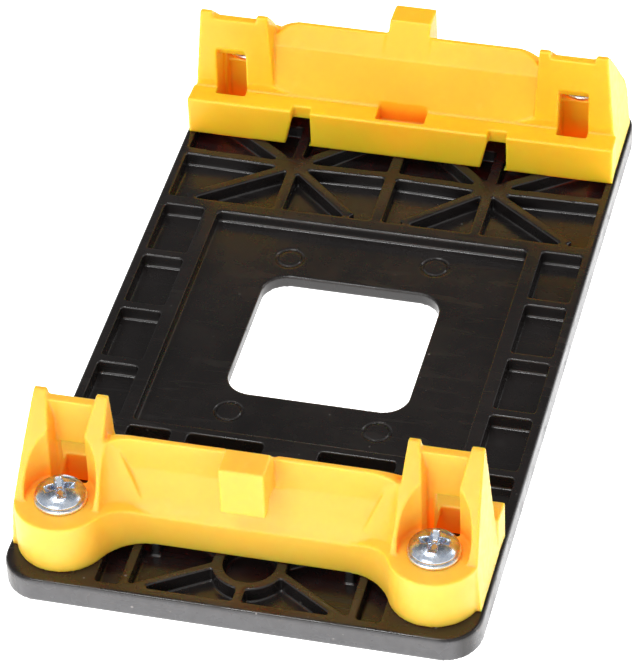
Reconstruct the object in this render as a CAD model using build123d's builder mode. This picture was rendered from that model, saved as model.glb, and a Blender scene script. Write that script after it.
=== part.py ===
"""Processor cooler mounting set: ribbed backplate, two identical retention
brackets, four washers, four pan head screws and four pressed-in inserts.

Frame: origin on the underside of the backplate at the centre of the screw
pattern, +X along the brackets, +Y along the plate, +Z up. Millimetres.
"""
from build123d import *
import math
import os

os.makedirs("parts", exist_ok=True)

# ---------------------------------------------------------------- dimensions
HOLE_X = 24.0            # half of the 48 mm hole spacing
HOLE_Y = 48.0            # half of the 96 mm hole spacing

# backplate
PLATE_T = 3.5
PLATE_HX = 30.8          # half width
PLATE_Y0, PLATE_Y1 = -56.0, 54.0
PLATE_R = 5.0
RECESS_HX = 21.8         # shallow central recess
RECESS_Y0, RECESS_Y1 = -24.0, 19.6
RECESS_Z = 1.85
WIN_HX = 12.3            # socket window
WIN_Y0, WIN_Y1 = -14.5, 9.75
WIN_R = 3.5
POCKET_Z = 1.5           # floor of the weight-saving pockets
RIB_T = 1.5
SIDE_X0, SIDE_X1 = 23.8, 29.4
SIDE_PITCH = 11.3
SIDE_TOP = 19.9          # far edge of the first side pocket
SIDE_LEN = 9.8

# insert (threaded post pressed into the plate)
INS_R = 3.0
INS_FLANGE_R = 3.9
INS_FLANGE_T = 0.9
INS_TOP = 5.5
INS_BORE_R = 1.74

# retention bracket, written for the +Y bracket
ZB = PLATE_T             # it stands on the plate
BR_END_X = 30.4
BR_Y_IN = 36.0
BR_Y_OUT = 46.6
LEDGE_Z = 9.35
LEDGE_Y = 39.5
LOBE_R = 6.0
LOBE_Z = 10.7
SKIRT_Z = 8.4
WALL = 1.4
FLARE_X = 12.5           # where the skirt starts to flare out to the lobe
TOWER_Z = 21.9           # tip height
TOWER_BACK_Z = 20.9      # top of the wall between the tips
CHAN_HX = 2.4            # half width of the screwdriver channel
ACCESS_R = 4.6           # round screw access
DOOR_HX = 2.1
PIT_Y0 = 38.3            # inner face of the pit under the doorway
LINTEL_Z = 14.05         # outer edge of the doorway's lintel
DOOR_L, DOOR_R = -24.7, 24.1   # centres of the two doorways
NOTCH_X = 14.0
LUG_HX = 2.93
LUG_Y = 49.08
WALL_TOP_Z = 18.95
CREASE_Z = 14.3          # top of the concave ramp
SCREW_HOLE_R = 1.8
POST_BORE_R = 3.2
POST_BORE_D = 2.4

# washer and screw
WASHER_R, WASHER_BORE_R, WASHER_T = 3.4, 1.80, 0.5
HEAD_R, HEAD_RIM, HEAD_DOME = 3.2, 0.5, 1.6
SHANK_R = 1.70
SCREW_TIP_Z = 1.0

# ------------------------------------------------------------------ backplate


with BuildPart() as backplate:
    with BuildSketch(Plane.XY):
        with Locations((0, (PLATE_Y0 + PLATE_Y1) / 2)):
            RectangleRounded(2 * PLATE_HX, PLATE_Y1 - PLATE_Y0, PLATE_R)
    extrude(amount=PLATE_T)
    fillet(backplate.faces().sort_by(Axis.Z)[-1].outer_wire().edges(), 0.45)
    # central recess and window
    with BuildSketch(Plane.XY.offset(RECESS_Z)):
        with Locations((0, (RECESS_Y0 + RECESS_Y1) / 2)):
            RectangleRounded(2 * RECESS_HX, RECESS_Y1 - RECESS_Y0, 0.6)
    extrude(amount=PLATE_T, mode=Mode.SUBTRACT)
    with BuildSketch(Plane.XY.offset(-1)):
        with Locations((0, (WIN_Y0 + WIN_Y1) / 2)):
            RectangleRounded(2 * WIN_HX, WIN_Y1 - WIN_Y0, WIN_R)
    extrude(amount=PLATE_T + 2, mode=Mode.SUBTRACT)
    # ejector pin marks, shallow rings in the recess floor
    with BuildSketch(Plane.XY.offset(RECESS_Z - 0.2)):
        with Locations((-10.4, -18.4), (9.6, -18.5), (9.8, 15.7), (-10.1, 13.6)):
            Circle(2.0)
            Circle(1.55, mode=Mode.SUBTRACT)
    extrude(amount=1.0, mode=Mode.SUBTRACT)
    # side pocket columns
    with BuildSketch(Plane.XY.offset(POCKET_Z)):
        for i in range(4):
            yc = SIDE_TOP - SIDE_PITCH * i - SIDE_LEN / 2
            for s in (-1, 1):
                with Locations((s * (SIDE_X0 + SIDE_X1) / 2, yc)):
                    RectangleRounded(SIDE_X1 - SIDE_X0, SIDE_LEN, 0.4)
        # short pocket and the long one beside the near cross rib
        for s in (-1, 1):
            with Locations((s * (SIDE_X0 + SIDE_X1) / 2, -30.25)):
                RectangleRounded(SIDE_X1 - SIDE_X0, 9.9, 0.4)
    extrude(amount=PLATE_T, mode=Mode.SUBTRACT)
    # row of pockets on the near side of the recess
    with BuildSketch(Plane.XY.offset(POCKET_Z)):
        for s in (-1, 1):
            with Locations((s * 8.8, -30.28)):
                RectangleRounded(10.2, 9.8, 0.4)
            with Locations((s * 19.1, -30.28)):
                RectangleRounded(5.8, 9.8, 0.4)
    extrude(amount=PLATE_T, mode=Mode.SUBTRACT)
    # far zone: one large pocket each side of the centre rib, crossed by spokes
    with BuildSketch(Plane.XY.offset(POCKET_Z)):
        for s in (-1, 1):
            with Locations((s * 15.15, 31.0)):
                RectangleRounded(28.6, 18.2, 0.5)
        for s in (-1, 1):
            hub = (s * 13.9, 31.6)
            with Locations(hub):
                Circle(1.7, mode=Mode.SUBTRACT)
            for dx, dy in ((-13.9, 0.4), (15.6, 0.4), (0, -9.9), (0, 9.2),
                           (-10.2, -9.3), (13.0, -9.4), (-10.2, 9.2), (13.0, 9.2)):
                a = (hub[0], hub[1])
                b = (hub[0] + s * dx, hub[1] + dy)
                (x0, y0), (x1, y1) = a, b
                length = math.hypot(x1 - x0, y1 - y0)
                angle = math.degrees(math.atan2(y1 - y0, x1 - x0))
                with Locations(Location(((x0 + x1) / 2, (y0 + y1) / 2, 0), (0, 0, angle))):
                    Rectangle(length, RIB_T, mode=Mode.SUBTRACT)
    extrude(amount=PLATE_T, mode=Mode.SUBTRACT)
    # near and far end zones: a ring on the centre line with diagonal ribs
    with BuildSketch(Plane.XY.offset(POCKET_Z)):
        for e, ye in ((-1, PLATE_Y0), (1, PLATE_Y1)):
            edge = abs(ye) - 1.75
            yc = e * (42.2 + edge) / 2
            with Locations((0, yc)):
                RectangleRounded(2 * 18.4, edge - 42.2, 0.5)
            with Locations((0, e * 47.3)):
                Circle(4.8, mode=Mode.SUBTRACT)
            for s in (-1, 1):
                for a, b in (((0, 47.3), (0, 42.0)), ((0, 47.3), (0, edge + 0.3)),
                             ((4.5, 48.55), (13.8, 54.5)), ((3.4, 45.6), (9.4, 42.0)),
                             ((12.6, 42.0), (12.6, 46.4)), ((14.7, 46.0), (14.7, edge + 0.3))):
                    x0, y0, x1, y1 = s * a[0], e * a[1], s * b[0], e * b[1]
                    length = math.hypot(x1 - x0, y1 - y0)
                    angle = math.degrees(math.atan2(y1 - y0, x1 - x0))
                    with Locations(Location(((x0 + x1) / 2, (y0 + y1) / 2, 0), (0, 0, angle))):
                        Rectangle(length, 1.2, mode=Mode.SUBTRACT)
            with Locations((0, e * 47.3)):
                Circle(3.4)
    extrude(amount=PLATE_T, mode=Mode.SUBTRACT)
    # seats for the four inserts: a bore with a flange recess underneath
    with BuildSketch(Plane.XY.offset(-1)):
        with GridLocations(2 * HOLE_X, 2 * HOLE_Y, 2, 2):
            Circle(INS_R)
    extrude(amount=PLATE_T + 2, mode=Mode.SUBTRACT)
    with BuildSketch(Plane.XY):
        with GridLocations(2 * HOLE_X, 2 * HOLE_Y, 2, 2):
            Circle(INS_FLANGE_R)
    extrude(amount=INS_FLANGE_T, mode=Mode.SUBTRACT)

# ------------------------------------------------------------ bracket pieces
# central wall with the concave ramp on its outer side
with BuildPart() as wall:
    with BuildSketch(Plane.YZ):
        with BuildLine():
            Polyline((46.55, ZB), (LEDGE_Y - 0.4, ZB), (LEDGE_Y - 0.4, LEDGE_Z - 0.3),
                     (LEDGE_Y, LEDGE_Z), (41.5, 16.4), (43.56, WALL_TOP_Z), (44.3, WALL_TOP_Z),
                     (44.05, CREASE_Z))
            ThreePointArc((44.05, CREASE_Z), (44.85, 11.0), (46.55, SKIRT_Z))
            Line((46.55, SKIRT_Z), (46.55, ZB))
        make_face()
    extrude(amount=20.5, both=True)
    # rounded ends of the wall top beside the towers
    with BuildSketch(Plane.XZ.offset(-38)):
        for s in (-1, 1):
            with BuildLine():
                Polyline((s * 14.2, WALL_TOP_Z), (s * 14.2, 22), (s * 21, 22), (s * 21, 15.4), (s * 19.6, 16.5))
                ThreePointArc((s * 19.6, 16.5), (s * 17.6, 18.35), (s * 14.2, WALL_TOP_Z))
            make_face()
    extrude(amount=-10, mode=Mode.SUBTRACT)
    # the lug's sloping pad sits slightly below the face of the wall
    with BuildSketch(Plane.YZ):
        Polygon((41.5, 16.4), (45.19, 20.45), (41.5, 20.45), align=None)
    extrude(amount=3.3, both=True, mode=Mode.SUBTRACT)

# one tower: front view taper crossed with the side view slope
with BuildPart() as tower:
    with BuildSketch(Plane.XZ.offset(-38)):
        Polygon((18.25, ZB), (30.35, ZB), (28.9, TOWER_Z), (19.25, TOWER_Z), align=None)
    extrude(amount=-14)
    with BuildSketch(Plane.YZ):
        with BuildLine():
            Polyline((LEDGE_Y, ZB), (LEDGE_Y, LEDGE_Z), (40.0, TOWER_Z), (40.75, TOWER_Z))
            ThreePointArc((40.75, TOWER_Z), (45.4, 16.6), (49.4, LOBE_Z + 0.2))
            Polyline((49.4, LOBE_Z + 0.2), (50.0, LOBE_Z - 1.0), (50.0, ZB), (LEDGE_Y, ZB))
        make_face()
    extrude(amount=40, mode=Mode.INTERSECT)

# hollow corner that blends the wall's ramp into the side of a tower
with BuildPart() as gusset:
    with BuildSketch(Plane.XY.offset(9.2)):
        with BuildLine():
            ThreePointArc((14.0, 45.6), (17.25, 46.95), (18.7, 49.8))
            Polyline((18.7, 49.8), (20.5, 49.8), (20.5, 43.5), (14.0, 43.5), (14.0, 45.6))
        make_face()
    with BuildSketch(Plane.XY.offset(17.8)):
        with BuildLine():
            ThreePointArc((17.6, 44.1), (18.55, 44.38), (19.0, 45.0))
            Polyline((19.0, 45.0), (20.5, 45.0), (20.5, 43.5), (17.6, 43.5), (17.6, 44.1))
        make_face()
    loft(ruled=True)
    with BuildSketch(Plane.YZ):
        with BuildLine():
            Polyline((40.0, 9.0), (40.0, TOWER_Z), (40.75, TOWER_Z))
            ThreePointArc((40.75, TOWER_Z), (45.4, 16.6), (49.4, LOBE_Z + 0.2))
            Polyline((49.4, LOBE_Z + 0.2), (50.0, LOBE_Z - 1.0), (50.0, 9.0), (40.0, 9.0))
        make_face()
    extrude(amount=40, mode=Mode.INTERSECT)

# lug in the middle for the cooler's clip
with BuildPart() as lug:
    with BuildSketch(Plane.YZ):
        Polygon((41.5, 16.4), (45.19, 20.45), (LUG_Y, 20.28), (LUG_Y, 13.2), (47.4, 13.2),
                (47.2, 14.6), (44.0, 14.2), (42.3, 14.2), align=None)
    extrude(amount=3.75, both=True)
    with BuildSketch(Plane.XZ.offset(-38)):
        Polygon((-3.75, 10), (3.75, 10), (3.75, 16.4), (LUG_HX, 18.9), (LUG_HX, 22),
                (-LUG_HX, 22), (-LUG_HX, 18.9), (-3.75, 16.4), align=None)
    extrude(amount=-14, mode=Mode.INTERSECT)
    # outboard of the wall the lug has parallel sides
    with BuildSketch(Plane.XY.offset(5)):
        for s in (-1, 1):
            with Locations((s * (LUG_HX + 2), 47.3)):
                Rectangle(4, 6.2)
    extrude(amount=20, mode=Mode.SUBTRACT)

with BuildPart() as middle_block:
    with BuildSketch(Plane.YZ):
        Polygon((BR_Y_IN + 1, ZB), (BR_Y_IN + 1, 7.3), (41, 7.3), (42.2, 13.2),
                (42.7, 13.2), (45.6, 7.0), (45.6, ZB), align=None)
    extrude(amount=4.4, both=True)

with BuildPart() as rear_bracket:
    # lower body: straight inner face, two lobes round the screws
    with BuildSketch(Plane.XY.offset(ZB)):
        with BuildLine():
            r = 6.64
            cx, cy = FLARE_X, BR_Y_OUT + r
            d = math.hypot(HOLE_X - cx, HOLE_Y - cy)
            tx = HOLE_X - LOBE_R * (HOLE_X - cx) / d
            ty = HOLE_Y - LOBE_R * (HOLE_Y - cy) / d
            a = (math.atan2(ty - cy, tx - cx) - math.pi / 2) / 2
            Polyline((0, BR_Y_IN), (BR_END_X, BR_Y_IN), (HOLE_X + LOBE_R, HOLE_Y))
            ThreePointArc((HOLE_X + LOBE_R, HOLE_Y), (HOLE_X, HOLE_Y + LOBE_R), (tx, ty))
            ThreePointArc((tx, ty), (cx + r * math.cos(a), cy + r * math.sin(a)), (FLARE_X, BR_Y_OUT))
            Line((FLARE_X, BR_Y_OUT), (0, BR_Y_OUT))
            mirror(about=Plane.YZ)
        make_face()
    extrude(amount=LOBE_Z - ZB)
    # the skirt is lower in the middle and rises to the lobes
    with BuildSketch(Plane.XZ.offset(-LEDGE_Y)):
        with BuildLine():
            Line((-11.5, SKIRT_Z), (11.5, SKIRT_Z))
            Spline((11.5, SKIRT_Z), (15.0, SKIRT_Z + 0.75), (19.0, LOBE_Z),
                   tangents=((1, 0), (1, 0.35)))
            Polyline((19.0, LOBE_Z), (19.0, LOBE_Z + 2), (-19.0, LOBE_Z + 2), (-19.0, LOBE_Z))
            Spline((-19.0, LOBE_Z), (-15.0, SKIRT_Z + 0.75), (-11.5, SKIRT_Z),
                   tangents=((1, -0.35), (1, 0)))
        make_face()
    extrude(amount=-20, mode=Mode.SUBTRACT)
    # ledge in front
    with BuildSketch(Plane.XY.offset(LEDGE_Z)):
        with Locations((0, (BR_Y_IN - 1 + LEDGE_Y) / 2)):
            Rectangle(70, LEDGE_Y - BR_Y_IN + 1)
    extrude(amount=5, mode=Mode.SUBTRACT)
    add(wall.part)
    add(tower.part)
    add(tower.part.mirror(Plane.YZ))
    add(gusset.part)
    add(gusset.part.mirror(Plane.YZ))
    add(lug.part)
    # the outer side leans in by the same draft as the towers
    for s in (-1, 1):
        with BuildSketch(Plane.XZ.offset(-LEDGE_Y)):
            Polygon((s * 30.35, ZB), (s * 32.0, ZB), (s * 32.0, 12.0), (s * 29.68, 12.0), align=None)
        extrude(amount=-20, mode=Mode.SUBTRACT)
    # screwdriver channel, open down to the plate behind the screw boss
    for s in (-1, 1):
        with BuildSketch(Plane.XY.offset(ZB - 1)):
            with Locations((s * HOLE_X, (PIT_Y0 + 44.6) / 2)):
                Rectangle(2 * CHAN_HX, 44.6 - PIT_Y0)
        extrude(amount=LEDGE_Z - 1.5 - ZB + 1, mode=Mode.SUBTRACT)
        with BuildSketch(Plane.XY.offset(ZB - 1)):
            with Locations((s * HOLE_X, (36.9 + PIT_Y0 + 0.2) / 2)):
                Rectangle(2 * CHAN_HX, PIT_Y0 + 0.2 - 36.9)
        extrude(amount=2.5, mode=Mode.SUBTRACT)
        # doorway through the tower wall, its lintel slopes outward
        with BuildSketch(Plane.YZ.offset(DOOR_L if s < 0 else DOOR_R)):
            Polygon((PIT_Y0, ZB - 1), (PIT_Y0, 16.35), (LEDGE_Y, 16.3), (41.3, LINTEL_Z), (43.0, LINTEL_Z),
                    (43.0, ZB - 1), align=None)
        extrude(amount=DOOR_HX, both=True, mode=Mode.SUBTRACT)
        # channel above, open outward
        with BuildSketch(Plane.XY.offset(ZB + 0.5)):
            with Locations((s * HOLE_X, (41.3 + 44.6) / 2)):
                Rectangle(2 * CHAN_HX, 44.6 - 41.3)
        extrude(amount=20, mode=Mode.SUBTRACT)
        with BuildSketch(Plane.XY.offset(LOBE_Z)):
            with Locations((s * HOLE_X, 46.0)):
                Rectangle(2 * CHAN_HX, 9.4)
            with Locations((s * HOLE_X, HOLE_Y)):
                Circle(ACCESS_R)
        extrude(amount=14, mode=Mode.SUBTRACT)
        # the tips: wall between them is lower, inner edges chamfered
        with BuildSketch(Plane.XZ.offset(-41.3)):
            Polygon((s * HOLE_X - 3.15, TOWER_Z + 1), (s * HOLE_X + 3.15, TOWER_Z + 1),
                    (s * HOLE_X + 3.15, TOWER_Z), (s * HOLE_X + CHAN_HX, 18.2),
                    (s * HOLE_X - CHAN_HX, 18.2), (s * HOLE_X - 3.15, TOWER_Z), align=None)
        extrude(amount=-12, mode=Mode.SUBTRACT)
        with BuildSketch(Plane.XZ.offset(-39)):
            Polygon((s * HOLE_X - 3.3, TOWER_Z + 1), (s * HOLE_X + 3.3, TOWER_Z + 1),
                    (s * HOLE_X + 3.1, TOWER_BACK_Z), (s * HOLE_X - 3.1, TOWER_BACK_Z), align=None)
        extrude(amount=-12, mode=Mode.SUBTRACT)
    # screw holes with counterbores that drop over the insert posts
    with BuildSketch(Plane.XY.offset(ZB - 1)):
        with Locations((HOLE_X, HOLE_Y), (-HOLE_X, HOLE_Y)):
            Circle(SCREW_HOLE_R)
    extrude(amount=12, mode=Mode.SUBTRACT)
    with BuildSketch(Plane.XY.offset(ZB)):
        with Locations((HOLE_X, HOLE_Y), (-HOLE_X, HOLE_Y)):
            Circle(POST_BORE_R)
    extrude(amount=POST_BORE_D, mode=Mode.SUBTRACT)
    # notches through the front wall, one edge upright and one slanted
    with BuildSketch(Plane.XZ.offset(-(BR_Y_IN - 1))):
        for s in (-1, 1):
            c = s * NOTCH_X
            with BuildLine():
                Polyline((c + 1.35, ZB + 0.5), (c + 1.3, LEDGE_Z + 1), (c - 1.35, LEDGE_Z + 1),
                         (c - 1.35, 8.0), (c - 2.35, ZB), (c - 2.35, ZB - 1), (c + 0.85, ZB - 1),
                         (c + 0.85, ZB))
                ThreePointArc((c + 0.85, ZB), (c + 1.2, ZB + 0.15), (c + 1.35, ZB + 0.5))
            make_face()
    extrude(amount=-(WALL + 1.05), mode=Mode.SUBTRACT)
    # hollow underside, left and right of the solid middle
    with BuildSketch(Plane.YZ):
        Polygon((BR_Y_IN + WALL, ZB - 1), (BR_Y_IN + WALL, 7.25), (40.9, 7.25), (42.25, 12.6),
                (42.6, 12.6), (44.5, 8.0), (44.9, ZB - 1), align=None)
    extrude(amount=17.2, both=True, mode=Mode.SUBTRACT)
    # solid middle carries the lug
    add(middle_block.part)
    # pocket in the ledge under the clip lug, it runs a little way up the wall
    with BuildSketch(Plane.XY.offset(7.0)):
        with Locations((0, (36.9 + 39.75) / 2)):
            Rectangle(2 * 3.45, 39.75 - 36.9)
    extrude(amount=5, mode=Mode.SUBTRACT)

with BuildPart() as front_bracket:
    add(rear_bracket.part.rotate(Axis.Z, 180))

# ----------------------------------------------------------------- fasteners
with BuildPart() as insert_ref:
    with BuildSketch(Plane.XZ):
        with BuildLine():
            Polyline((INS_BORE_R, 0), (INS_FLANGE_R, 0), (INS_FLANGE_R, INS_FLANGE_T),
                     (INS_R, INS_FLANGE_T), (INS_R, INS_TOP - 0.3), (INS_R - 0.3, INS_TOP),
                     (INS_BORE_R + 0.3, INS_TOP), (INS_BORE_R, INS_TOP - 0.3), (INS_BORE_R, 0))
        make_face()
    revolve(axis=Axis.Z)

with BuildPart() as washer_ref:
    with BuildSketch(Plane.XY.offset(LOBE_Z)):
        Circle(WASHER_R)
        Circle(WASHER_BORE_R, mode=Mode.SUBTRACT)
    extrude(amount=WASHER_T)
    fillet(washer_ref.faces().sort_by(Axis.Z)[-1].outer_wire().edges(), 0.15)

ZH = LOBE_Z + WASHER_T
with BuildPart() as screw_ref:
    with BuildSketch(Plane.XZ):
        with BuildLine():
            Polyline((0, ZH + HEAD_DOME), (0, SCREW_TIP_Z), (SHANK_R - 0.5, SCREW_TIP_Z),
                     (SHANK_R, SCREW_TIP_Z + 0.6), (SHANK_R, ZH), (HEAD_R, ZH), (HEAD_R, ZH + HEAD_RIM))
            ThreePointArc((HEAD_R, ZH + HEAD_RIM), (1.9, ZH + 1.33), (0, ZH + HEAD_DOME))
        make_face()
    revolve(axis=Axis.Z)
    # cross recess
    for upright in (Plane.XZ, Plane.YZ):
        with BuildSketch(upright):
            Polygon((-1.85, ZH + HEAD_DOME + 0.5), (1.85, ZH + HEAD_DOME + 0.5),
                    (1.6, ZH + HEAD_DOME - 0.3), (0.7, ZH + HEAD_DOME - 1.3),
                    (-0.7, ZH + HEAD_DOME - 1.3), (-1.6, ZH + HEAD_DOME - 0.3), align=None)
        extrude(amount=0.4, both=True, mode=Mode.SUBTRACT)

# ------------------------------------------------------------------- output
backplate.part.label = "backplate"
rear_bracket.part.label = "rear_bracket"
front_bracket.part.label = "front_bracket"
export_step(backplate.part, "parts/backplate.step")
export_step(rear_bracket.part, "parts/rear_bracket.step")
export_step(front_bracket.part, "parts/front_bracket.step")

CORNERS = {"front_left": (-HOLE_X, -HOLE_Y), "front_right": (HOLE_X, -HOLE_Y),
           "rear_left": (-HOLE_X, HOLE_Y), "rear_right": (HOLE_X, HOLE_Y)}
TURN = {"front_left": 20, "front_right": 8, "rear_left": 35, "rear_right": 52}
for corner, (px, py) in CORNERS.items():
    with BuildPart() as insert:
        add(insert_ref.part.moved(Location((px, py, 0))))
    insert.part.label = "insert_" + corner
    export_step(insert.part, "parts/insert_" + corner + ".step")
    with BuildPart() as washer:
        add(washer_ref.part.moved(Location((px, py, 0))))
    washer.part.label = "washer_" + corner
    export_step(washer.part, "parts/washer_" + corner + ".step")
    with BuildPart() as screw:
        add(screw_ref.part.moved(Location((px, py, 0), (0, 0, TURN[corner]))))
    screw.part.label = "screw_" + corner
    export_step(screw.part, "parts/screw_" + corner + ".step")
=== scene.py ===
import bpy, math
from mathutils import Matrix, Vector


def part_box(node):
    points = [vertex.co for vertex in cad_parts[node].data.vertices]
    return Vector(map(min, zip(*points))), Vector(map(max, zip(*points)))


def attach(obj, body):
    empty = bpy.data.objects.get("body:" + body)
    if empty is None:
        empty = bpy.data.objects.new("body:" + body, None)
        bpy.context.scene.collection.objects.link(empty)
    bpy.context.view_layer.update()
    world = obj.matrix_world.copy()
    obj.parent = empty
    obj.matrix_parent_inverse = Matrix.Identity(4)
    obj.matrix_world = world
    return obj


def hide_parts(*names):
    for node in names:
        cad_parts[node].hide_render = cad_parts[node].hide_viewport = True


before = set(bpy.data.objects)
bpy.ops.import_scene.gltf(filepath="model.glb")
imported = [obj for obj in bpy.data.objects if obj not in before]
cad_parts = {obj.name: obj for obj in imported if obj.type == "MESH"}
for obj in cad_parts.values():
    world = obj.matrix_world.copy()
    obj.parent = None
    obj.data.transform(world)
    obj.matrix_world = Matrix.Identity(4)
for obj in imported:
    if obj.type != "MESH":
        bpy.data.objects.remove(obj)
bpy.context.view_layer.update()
MM = 0.001
scene = bpy.context.scene

# ------------------------------------------------------------------ camera
cam_data = bpy.data.cameras.new("camera")
cam = bpy.data.objects.new("camera", cam_data)
bpy.context.collection.objects.link(cam)
right = Vector((0.97083, 0.23745, -0.03349))
up = Vector((-0.13060, 0.64068, 0.75663))
back = Vector((0.20112, -0.73017, 0.65300))
cam.matrix_world = Matrix((
    (right.x, up.x, back.x, 0.11126),
    (right.y, up.y, back.y, -0.41329),
    (right.z, up.z, back.z, 0.37083),
    (0, 0, 0, 1)))
cam_data.sensor_width = 36.0
cam_data.lens = 4215.6 / 665 * 36.0
cam_data.clip_start = 0.01
cam_data.clip_end = 20
scene.camera = cam
scene.view_settings.view_transform = "Standard"
scene.view_settings.look = "None"


# ---------------------------------------------------------------- node helper
class Tree:
    """Short way to build a material: nodes by type, inputs by name."""

    def __init__(self, name):
        self.mat = bpy.data.materials.new(name)
        self.mat.use_nodes = True
        self.t = self.mat.node_tree
        self.bsdf = self.t.nodes["Principled BSDF"]
        self.coord = self.node("ShaderNodeTexCoord").outputs["Object"]

    def node(self, kind, _values=None, **attrs):
        n = self.t.nodes.new(kind)
        for k, v in attrs.items():
            setattr(n, k, v)
        for k, v in (_values or {}).items():
            if isinstance(v, bpy.types.NodeSocket):
                self.t.links.new(v, n.inputs[k])
            else:
                n.inputs[k].default_value = v
        return n

    def put(self, **sockets):
        for k, v in sockets.items():
            s = self.bsdf.inputs[k.replace("_", " ")]
            if isinstance(v, bpy.types.NodeSocket):
                self.t.links.new(v, s)
            else:
                s.default_value = v

    def noise(self, scale, detail=3.0, rough=0.5, stretch=None, distortion=0.0):
        vec = self.coord
        if stretch:
            vec = self.node("ShaderNodeMapping", {"Vector": self.coord, "Scale": stretch}).outputs["Vector"]
        return self.node("ShaderNodeTexNoise", {"Vector": vec, "Scale": scale, "Detail": detail,
                                                "Roughness": rough, "Distortion": distortion}).outputs["Fac"]

    def ramp(self, fac, a, b, lo=0.0, hi=1.0):
        n = self.node("ShaderNodeMapRange", {"Value": fac, "From Min": lo, "From Max": hi, "To Min": a, "To Max": b})
        return n.outputs["Result"]

    def math(self, op, a, b=0.0, c=0.0):
        return self.node("ShaderNodeMath", {0: a, 1: b, 2: c}, operation=op).outputs[0]

    def mix(self, fac, a, b):
        n = self.node("ShaderNodeMix", data_type="RGBA")
        for i, v in ((0, fac), (6, a), (7, b)):
            if isinstance(v, bpy.types.NodeSocket):
                self.t.links.new(v, n.inputs[i])
            else:
                n.inputs[i].default_value = v if i == 0 else (*v, 1)
        return n.outputs[2]

    def bump(self, height, strength, distance, normal=None):
        v = {"Height": height, "Strength": strength, "Distance": distance}
        if normal is not None:
            v["Normal"] = normal
        return self.node("ShaderNodeBump", v).outputs["Normal"]


# ------------------------------------------------------------------ materials
def yellow_plastic(name, light, deep, sss):
    m = Tree(name)
    broad = m.noise(70, 3, 0.55)
    fine = m.noise(900, 3, 0.6)
    flow = m.noise(140, 2, 0.5, stretch=(0.25, 1.0, 1.0), distortion=0.4)
    tone = m.math("ADD", m.math("MULTIPLY", broad, 0.65), m.math("MULTIPLY", flow, 0.35))
    col = m.mix(m.ramp(tone, 0, 1, 0.36, 0.64), deep, light)
    # a few faint rubbed spots, paler than the rest
    rub = m.ramp(m.noise(420, 4, 0.62), 0, 0.22, 0.60, 0.74)
    col = m.mix(rub, col, tuple(min(1.0, c * 1.04 + 0.05) for c in light))
    # painted shade: corners found by ambient occlusion are painted deep orange, standing in for the light that reaches
    # them through the plastic, so they turn orange
    ao = m.node("ShaderNodeAmbientOcclusion", {"Distance": 0.0045}, samples=8)
    painted_corner_shade = m.ramp(ao.outputs["AO"], 1.0, 0.0, 0.10, 0.62)
    col = m.mix(m.math("MULTIPLY", painted_corner_shade, 0.85), col, (1.0, 0.20, 0.008))
    # painted glow: the pits behind the screws get an orange emission, standing in for light carried through their thin
    # walls
    pos = m.node("ShaderNodeSeparateXYZ", {0: m.coord})
    off = m.math("ABSOLUTE", m.math("SUBTRACT", m.math("ABSOLUTE", pos.outputs["X"]), 0.024))
    pit = m.math("MULTIPLY", m.ramp(off, 1, 0, 0.0026, 0.0031), m.ramp(m.math("ABSOLUTE", pos.outputs["Y"]), 1, 0, 0.0446, 0.0462))
    painted_pit_glow = m.math("MULTIPLY", pit, m.math("MULTIPLY", painted_corner_shade, m.ramp(pos.outputs["Z"], 1, 0, 0.0125, 0.0150)))
    m.put(Emission_Color=(1.0, 0.10, 0.0, 1), Emission_Strength=m.math("MULTIPLY", painted_pit_glow, 0.75))
    m.put(Base_Color=col, Roughness=m.ramp(fine, 0.34, 0.50, 0.3, 0.7), IOR=1.5,
          Subsurface_Weight=sss, Subsurface_Radius=(1.0, 0.30, 0.06), Subsurface_Scale=0.0035)
    n = m.bump(m.noise(260, 2, 0.5), 0.25, 0.00004)
    n = m.bump(m.noise(5200, 3, 0.6), 0.18, 0.00001, n)
    m.put(Normal=n)
    return m.mat


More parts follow.
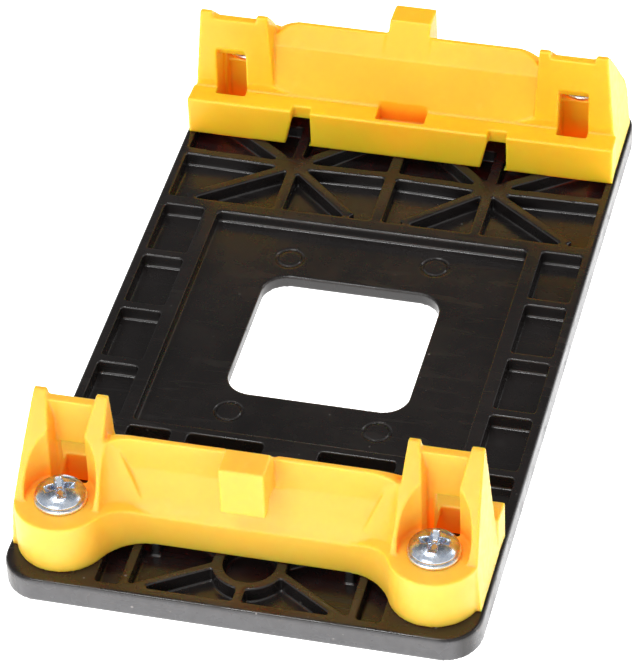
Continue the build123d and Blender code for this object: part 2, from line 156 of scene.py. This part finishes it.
def black_plastic():
    m = Tree("black_plastic")
    geo = m.node("ShaderNodeNewGeometry")
    pos = m.node("ShaderNodeSeparateXYZ", {0: m.coord})
    nrm = m.node("ShaderNodeSeparateXYZ", {0: geo.outputs["Normal"]})
    broad = m.noise(60, 4, 0.6)
    col = m.mix(m.ramp(broad, 0, 1, 0.35, 0.65), (0.0075, 0.0062, 0.0062), (0.0135, 0.0108, 0.0105))
    # upright outer sides are painted a lighter grey: a painted reflection of the bright floor and lamps, with some
    # handling dust mottled in
    side = m.ramp(m.math("ABSOLUTE", nrm.outputs["Z"]), 1.0, 0.0, 0.25, 0.75)
    outer = m.math("MAXIMUM", m.ramp(m.math("ABSOLUTE", pos.outputs["X"]), 0, 1, 0.0298, 0.0304),
                   m.ramp(pos.outputs["Y"], 1, 0, -0.0556, -0.0548))
    painted_side_sheen_and_dust = m.math("MULTIPLY", m.math("MULTIPLY", side, outer), m.ramp(m.noise(700, 4, 0.65), 0.75, 1.0, 0.3, 0.6))
    col = m.mix(painted_side_sheen_and_dust, col, (0.075, 0.074, 0.078))
    # dust: small pale specks, thickest near the front edge
    v = m.node("ShaderNodeTexVoronoi", {"Vector": m.coord, "Scale": 620.0, "Randomness": 1.0})
    pick = m.ramp(m.node("ShaderNodeSeparateColor", {0: v.outputs["Color"]}).outputs[0], 0, 1, 0.60, 0.62)
    dot = m.ramp(v.outputs["Distance"], 1, 0, 0.07, 0.13)
    where = m.math("MAXIMUM", m.ramp(pos.outputs["Y"], 1, 0, -0.0555, -0.050),
                   m.ramp(m.noise(120, 3, 0.6), 0, 0.5, 0.56, 0.66))
    dust = m.math("MULTIPLY", m.math("MULTIPLY", pick, dot), where)
    col = m.mix(m.math("MULTIPLY", dust, 0.75), col, (0.30, 0.28, 0.27))
    # hairline scuffs show in the gloss
    scuff = m.ramp(m.noise(900, 2, 0.5, stretch=(0.12, 1.0, 1.0), distortion=0.8), 0, 0.14, 0.60, 0.68)
    rough = m.math("ADD", m.ramp(m.noise(240, 3, 0.6), 0.20, 0.34, 0.3, 0.7), scuff)
    rough = m.math("ADD", rough, m.math("MULTIPLY", dust, 0.4))
    m.put(Base_Color=col, Roughness=rough, IOR=1.52)
    # ring shaped ejector pin marks in the floor of the recess
    rings = None
    for ex, ey in ((-10.4, -18.4), (9.6, -18.5), (9.8, 15.7), (-10.1, 13.6)):
        d = m.node("ShaderNodeVectorMath", {0: m.coord, 1: (ex * MM, ey * MM, 1.85 * MM)}, operation="DISTANCE")
        away = m.math("ABSOLUTE", m.math("SUBTRACT", d.outputs["Value"], 0.00178))
        ring = m.ramp(away, 1, 0, 0.00010, 0.00028)
        rings = ring if rings is None else m.math("MAXIMUM", rings, ring)
    n = m.bump(m.noise(330, 2, 0.5), 0.35, 0.00004)
    n = m.bump(m.noise(3800, 3, 0.6), 0.25, 0.000012, n)
    n = m.bump(rings, 1.0, -0.00012, n)
    m.put(Normal=n)
    return m.mat


def zinc(name, a, b, rough, brush):
    m = Tree(name)
    col = m.mix(m.ramp(m.noise(900, 3, 0.6), 0, 1, 0.38, 0.62), a, b)
    blot = m.ramp(m.noise(2600, 3, 0.6), 0, 0.35, 0.60, 0.72)
    col = m.mix(blot, col, tuple(c * 0.55 for c in a))
    m.put(Base_Color=col, Metallic=1.0,
          Roughness=m.ramp(m.noise(2200, 3, 0.6), rough, rough + 0.16, 0.3, 0.7))
    n = m.bump(m.noise(2500, 3, 0.55, stretch=brush), 0.35, 0.00002)
    m.put(Normal=m.bump(m.noise(12000, 2, 0.5), 0.2, 0.000006, n))
    return m.mat


# the front bracket's copy is paler and less saturated than the rear's: painted light, standing in for the brighter
# light that falls on the near bracket
YF = yellow_plastic("yellow_plastic_front_paler_painted_light", (1.0, 0.55, 0.060), (0.99, 0.50, 0.045), 0.8)
YR = yellow_plastic("yellow_plastic_rear", (1.0, 0.575, 0.022), (0.98, 0.515, 0.016), 0.8)
K = black_plastic()
ZS = zinc("zinc_screw", (0.38, 0.45, 0.56), (0.60, 0.65, 0.73), 0.16, (1.0, 1.0, 0.3))
ZW = zinc("zinc_washer", (0.80, 0.80, 0.82), (0.90, 0.89, 0.86), 0.22, (1.0, 1.0, 1.0))
NI = zinc("nickel_insert", (0.60, 0.58, 0.54), (0.72, 0.70, 0.66), 0.24, (1.0, 1.0, 0.2))


# ------------------------------------------------------------- mesh building
def link(mesh, name):
    o = bpy.data.objects.new(name, mesh)
    bpy.context.collection.objects.link(o)
    return o


def make_mesh(name, verts, faces, material):
    me = bpy.data.meshes.new(name)
    me.from_pydata(verts, [], faces)
    me.validate()
    me.polygons.foreach_set("use_smooth", [True] * len(me.polygons))
    me.materials.append(material)
    me.update()
    return me


def softened(node, name, voxel, smooth, keep, material):
    """A copy of a CAD node's mesh with the small soft radii that moulding leaves on every edge.
    Worked in millimetres so that the voxels are not near the modifier's smallest size."""
    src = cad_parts[node].data.copy()
    src.transform(Matrix.Scale(1000.0, 4))
    tmp = link(src, name + "_tmp")
    r = tmp.modifiers.new("remesh", "REMESH")
    r.mode = "VOXEL"
    r.voxel_size = voxel
    r.adaptivity = 0.0
    s = tmp.modifiers.new("smooth", "SMOOTH")
    s.factor = 0.5
    s.iterations = smooth
    if keep < 1.0:
        d = tmp.modifiers.new("decimate", "DECIMATE")
        d.ratio = keep
    deps = bpy.context.evaluated_depsgraph_get()
    me = bpy.data.meshes.new_from_object(tmp.evaluated_get(deps))
    bpy.data.objects.remove(tmp)
    bpy.data.meshes.remove(src)
    me.transform(Matrix.Scale(MM, 4))
    me.name = name
    me.materials.clear()
    me.materials.append(material)
    me.polygons.foreach_set("use_smooth", [True] * len(me.polygons))
    me.polygons.foreach_set("material_index", [0] * len(me.polygons))
    me.update()
    return me


def lathe(rows, segs, dr=None):
    """Closed ring of revolution: rows are (r, z) round a closed outline; dr(angle, row) moves a point outward."""
    v, f = [], []
    for i, (r, z) in enumerate(rows):
        for j in range(segs):
            a = 2 * math.pi * j / segs
            q = r + (dr(a, i, z) if dr else 0.0)
            v.append((q * math.cos(a), q * math.sin(a), z))
    n = len(rows)
    for i in range(n):
        for j in range(segs):
            k = (j + 1) % segs
            f.append((i * segs + j, i * segs + k, ((i + 1) % n) * segs + k, ((i + 1) % n) * segs + j))
    return v, f


def solid_of_rows(rows, segs, point):
    """Closed shell from a pole at rows[0] to a pole at rows[-1]; point(angle, row) gives each vertex."""
    v, f = [point(0, 0)], []
    n = len(rows)
    for i in range(1, n - 1):
        for j in range(segs):
            v.append(point(2 * math.pi * j / segs, i))
    v.append(point(0, n - 1))
    last = len(v) - 1
    for j in range(segs):
        k = (j + 1) % segs
        f.append((0, 1 + j, 1 + k))
        f.append((last, last - segs + k, last - segs + j))
    for i in range(n - 3):
        for j in range(segs):
            k = (j + 1) % segs
            a, b = 1 + i * segs, 1 + (i + 1) * segs
            f.append((a + j, b + j, b + k, a + k))
    return v, f


def scaled(v):
    return [(x * MM, y * MM, z * MM) for x, y, z in v]


# ------------------------------------------------------------------- screws
HEAD_R, HEAD_RIM, HEAD_TOP = 3.2, 0.5, 1.6
SHANK_R, PITCH = 1.70, 0.7938


def dome(r):
    q = min(1.0, r / HEAD_R)
    return HEAD_RIM + (HEAD_TOP - HEAD_RIM) * (1 - q ** 2.5) ** 0.72


def step(x, a, b):
    t = max(0.0, min(1.0, (x - a) / (b - a)))
    return t * t * (3 - 2 * t)


def recess(x, y):
    """Depth of the cross recess below the dome."""
    d = 0.0
    for u, w in ((abs(x), abs(y)), (abs(y), abs(x))):
        along = max(0.0, min(1.0, (2.05 - u) * 0.95))
        d = max(d, along * (1 - step(w, 0.30, 0.62)))
    core = (1.35 - (abs(x) + abs(y))) * 1.5
    return max(d, min(1.15, core))


def screw_mesh():
    verts, faces = [], []
    # head: fine rings over the dome, then down the rim and under it
    rings = [HEAD_R * (i / 68.0) ** 0.92 for i in range(69)]
    rows = [(r, None) for r in rings] + [(3.195, 0.40), (3.18, 0.18), (3.10, 0.05), (2.9, 0.0), (1.2, 0.0), (0.0, 0.0)]

    def head_point(a, i):
        r, z = rows[i]
        x, y = r * math.cos(a), r * math.sin(a)
        return (x, y, dome(r) - recess(x, y) if z is None else z)
    v, f = solid_of_rows(rows, 176, head_point)
    verts += v
    faces += [tuple(reversed(q)) for q in f]
    # shank with a real thread
    top, tip = 0.05, -10.2
    count = 132
    srows = [(0.0, top)] + [(SHANK_R, top + (tip - top) * i / count) for i in range(count + 1)] + [(0.0, tip)]

    def shank_point(a, i):
        r, z = srows[i]
        if r > 0:
            ph = (z / PITCH - a / (2 * math.pi)) % 1.0
            tri = abs(2 * ph - 1.0)
            depth = 0.30 * max(0.0, min(1.0, tri * 1.35 - 0.12))
            depth *= step(-z, 0.5, 1.1)
            r = r - depth - 0.55 * step(tip + 0.7 - z, 0.0, 0.7)
        return (r * math.cos(a), r * math.sin(a), z)
    v, f = solid_of_rows(srows, 56, shank_point)
    off = len(verts)
    verts += v
    faces += [tuple(reversed([k + off for k in q])) for q in f]
    return make_mesh("screw", scaled(verts), faces, ZS)


def arc_rows(cx, cz, r, a0, a1, n):
    return [(cx + r * math.cos(math.radians(a0 + (a1 - a0) * i / n)),
             cz + r * math.sin(math.radians(a0 + (a1 - a0) * i / n))) for i in range(n + 1)]


def washer_mesh(height):
    ro, ri, t = 3.4, 1.8, height
    rows = arc_rows(ro - 0.16, 0.16, 0.16, -90, 0, 3) + arc_rows(ro - 0.16, t - 0.16, 0.16, 0, 90, 4) \
        + [(ro - 0.6, t), (ri + 0.5, t)] + arc_rows(ri + 0.1, t - 0.1, 0.1, 90, 180, 3) \
        + arc_rows(ri + 0.1, 0.1, 0.1, 180, 270, 3)
    v, f = lathe(rows, 128)
    return make_mesh("washer", scaled(v), f, ZW)


def insert_mesh():
    rows = [(1.95, 0.0), (3.75, 0.0), (3.86, 0.10), (3.88, 0.45), (3.86, 0.80), (3.75, 0.9), (2.98, 0.9)]
    knurl0 = len(rows)
    rows += [(2.98, 1.0 + 2.3 * i / 12) for i in range(13)]
    knurl1 = len(rows)
    rows += [(2.9, 3.42), (2.98, 3.55), (2.98, 5.2), (2.9, 5.38), (2.72, 5.5), (2.06, 5.5)]
    bore0 = len(rows)
    n = 72
    rows += [(1.76, 5.26 - 5.0 * i / n) for i in range(n + 1)]

    def dr(a, i, z):
        if knurl0 <= i < knurl1:
            return -0.11 * (0.5 + 0.5 * math.cos(30 * a))
        if 1 <= i <= 5:
            return -0.12 * (0.5 - 0.5 * math.cos(6 * a)) ** 2
        if i > bore0:
            ph = (z / PITCH - a / (2 * math.pi)) % 1.0
            return 0.20 * abs(2 * ph - 1.0)
        return 0.0
    v, f = lathe(rows, 180, dr)
    return make_mesh("insert", scaled(v), f, NI)


# --------------------------------------------------------------------- pieces
plate = link(softened("backplate", "plate_moulding", 0.19, 5, 0.55, K), "plate_moulding")
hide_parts("backplate")
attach(plate, "base")

bracket = softened("rear_bracket", "bracket_moulding", 0.14, 9, 0.5, YR)
rear = link(bracket, "rear_bracket_moulding")
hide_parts("rear_bracket")
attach(rear, "rear_bracket")
fm = bracket.copy()
fm.transform(Matrix.Rotation(math.pi, 4, "Z"))
fm.materials[0] = YF
front = link(fm, "front_bracket_moulding")
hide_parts("front_bracket")
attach(front, "front_bracket")

washer_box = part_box("washer_front_left")
W = washer_mesh((washer_box[1][2] - washer_box[0][2]) / MM)
S = screw_mesh()
I = insert_mesh()
TURN = {"front_left": 24, "front_right": 5, "rear_left": 35, "rear_right": 52}
for corner, turn in TURN.items():
    wb, sb, ib = (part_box(k + corner) for k in ("washer_", "screw_", "insert_"))
    cx, cy = (wb[0][0] + wb[1][0]) / 2, (wb[0][1] + wb[1][1]) / 2
    w = link(W, "washer_ring_" + corner)
    w.matrix_world = Matrix.Translation((cx, cy, wb[0][2]))
    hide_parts("washer_" + corner)
    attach(w, "washer_" + corner)
    s = link(S, "screw_detail_" + corner)
    s.matrix_world = Matrix.Translation((cx, cy, wb[1][2])) @ Matrix.Rotation(math.radians(turn), 4, "Z")
    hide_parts("screw_" + corner)
    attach(s, "screw_" + corner)
    i = link(I, "insert_detail_" + corner)
    i.matrix_world = Matrix.Translation((cx, cy, ib[0][2]))
    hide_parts("insert_" + corner)
    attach(i, "base")

# hidden CAD nodes still carry their finish
for n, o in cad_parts.items():
    o.data.materials.clear()
    o.data.materials.append(K if n == "backplate" else YF if n == "front_bracket" else YR if n == "rear_bracket"
                            else NI if n.startswith("insert") else ZW if n.startswith("washer") else ZS)

# ---------------------------------------------------------------------- stage
floor_mesh = bpy.data.meshes.new("floor")
s = 3.0
floor_mesh.from_pydata([(-s, -s, 0), (s, -s, 0), (s, s, 0), (-s, s, 0)], [], [(0, 1, 2, 3)])
floor = link(floor_mesh, "floor")
floor.location.z = -0.0002
ft = Tree("floor_white")
ft.put(Base_Color=(0.93, 0.93, 0.93, 1), Roughness=0.7, Emission_Color=(1, 1, 1, 1), Emission_Strength=1.4)
floor_mesh.materials.append(ft.mat)

world = bpy.data.worlds.new("studio")
scene.world = world
world.use_nodes = True
wt = world.node_tree
bg = wt.nodes["Background"]
tc = wt.nodes.new("ShaderNodeTexCoord")
dot = wt.nodes.new("ShaderNodeVectorMath")
dot.operation = "DOT_PRODUCT"
dot.inputs[1].default_value = Vector((-0.15, 0.75, 0.62)).normalized()
wt.links.new(tc.outputs["Generated"], dot.inputs[0])
mr = wt.nodes.new("ShaderNodeMapRange")
mr.interpolation_type = "SMOOTHSTEP"
for k, v in (("From Min", 0.35), ("From Max", 0.9), ("To Min", 0.75), ("To Max", 0.16)):
    mr.inputs[k].default_value = v
wt.links.new(dot.outputs["Value"], mr.inputs["Value"])
wt.links.new(mr.outputs["Result"], bg.inputs["Strength"])
bg.inputs["Color"].default_value = (1.0, 0.995, 0.985, 1)


def area(name, loc, size, power, target=(0, 0, 0.005)):
    d = bpy.data.lights.new(name, "AREA")
    d.size = size
    d.energy = power
    o = bpy.data.objects.new(name, d)
    bpy.context.collection.objects.link(o)
    o.location = loc
    o.rotation_euler = (Vector(target) - Vector(loc)).to_track_quat("-Z", "Y").to_euler()


area("overhead", (-0.10, -0.06, 0.60), 0.13, 1.2)
area("front_fill", (-0.18, -0.58, 0.30), 0.40, 1.6)
area("right_back", (0.55, 0.30, 0.40), 0.30, 1.0)
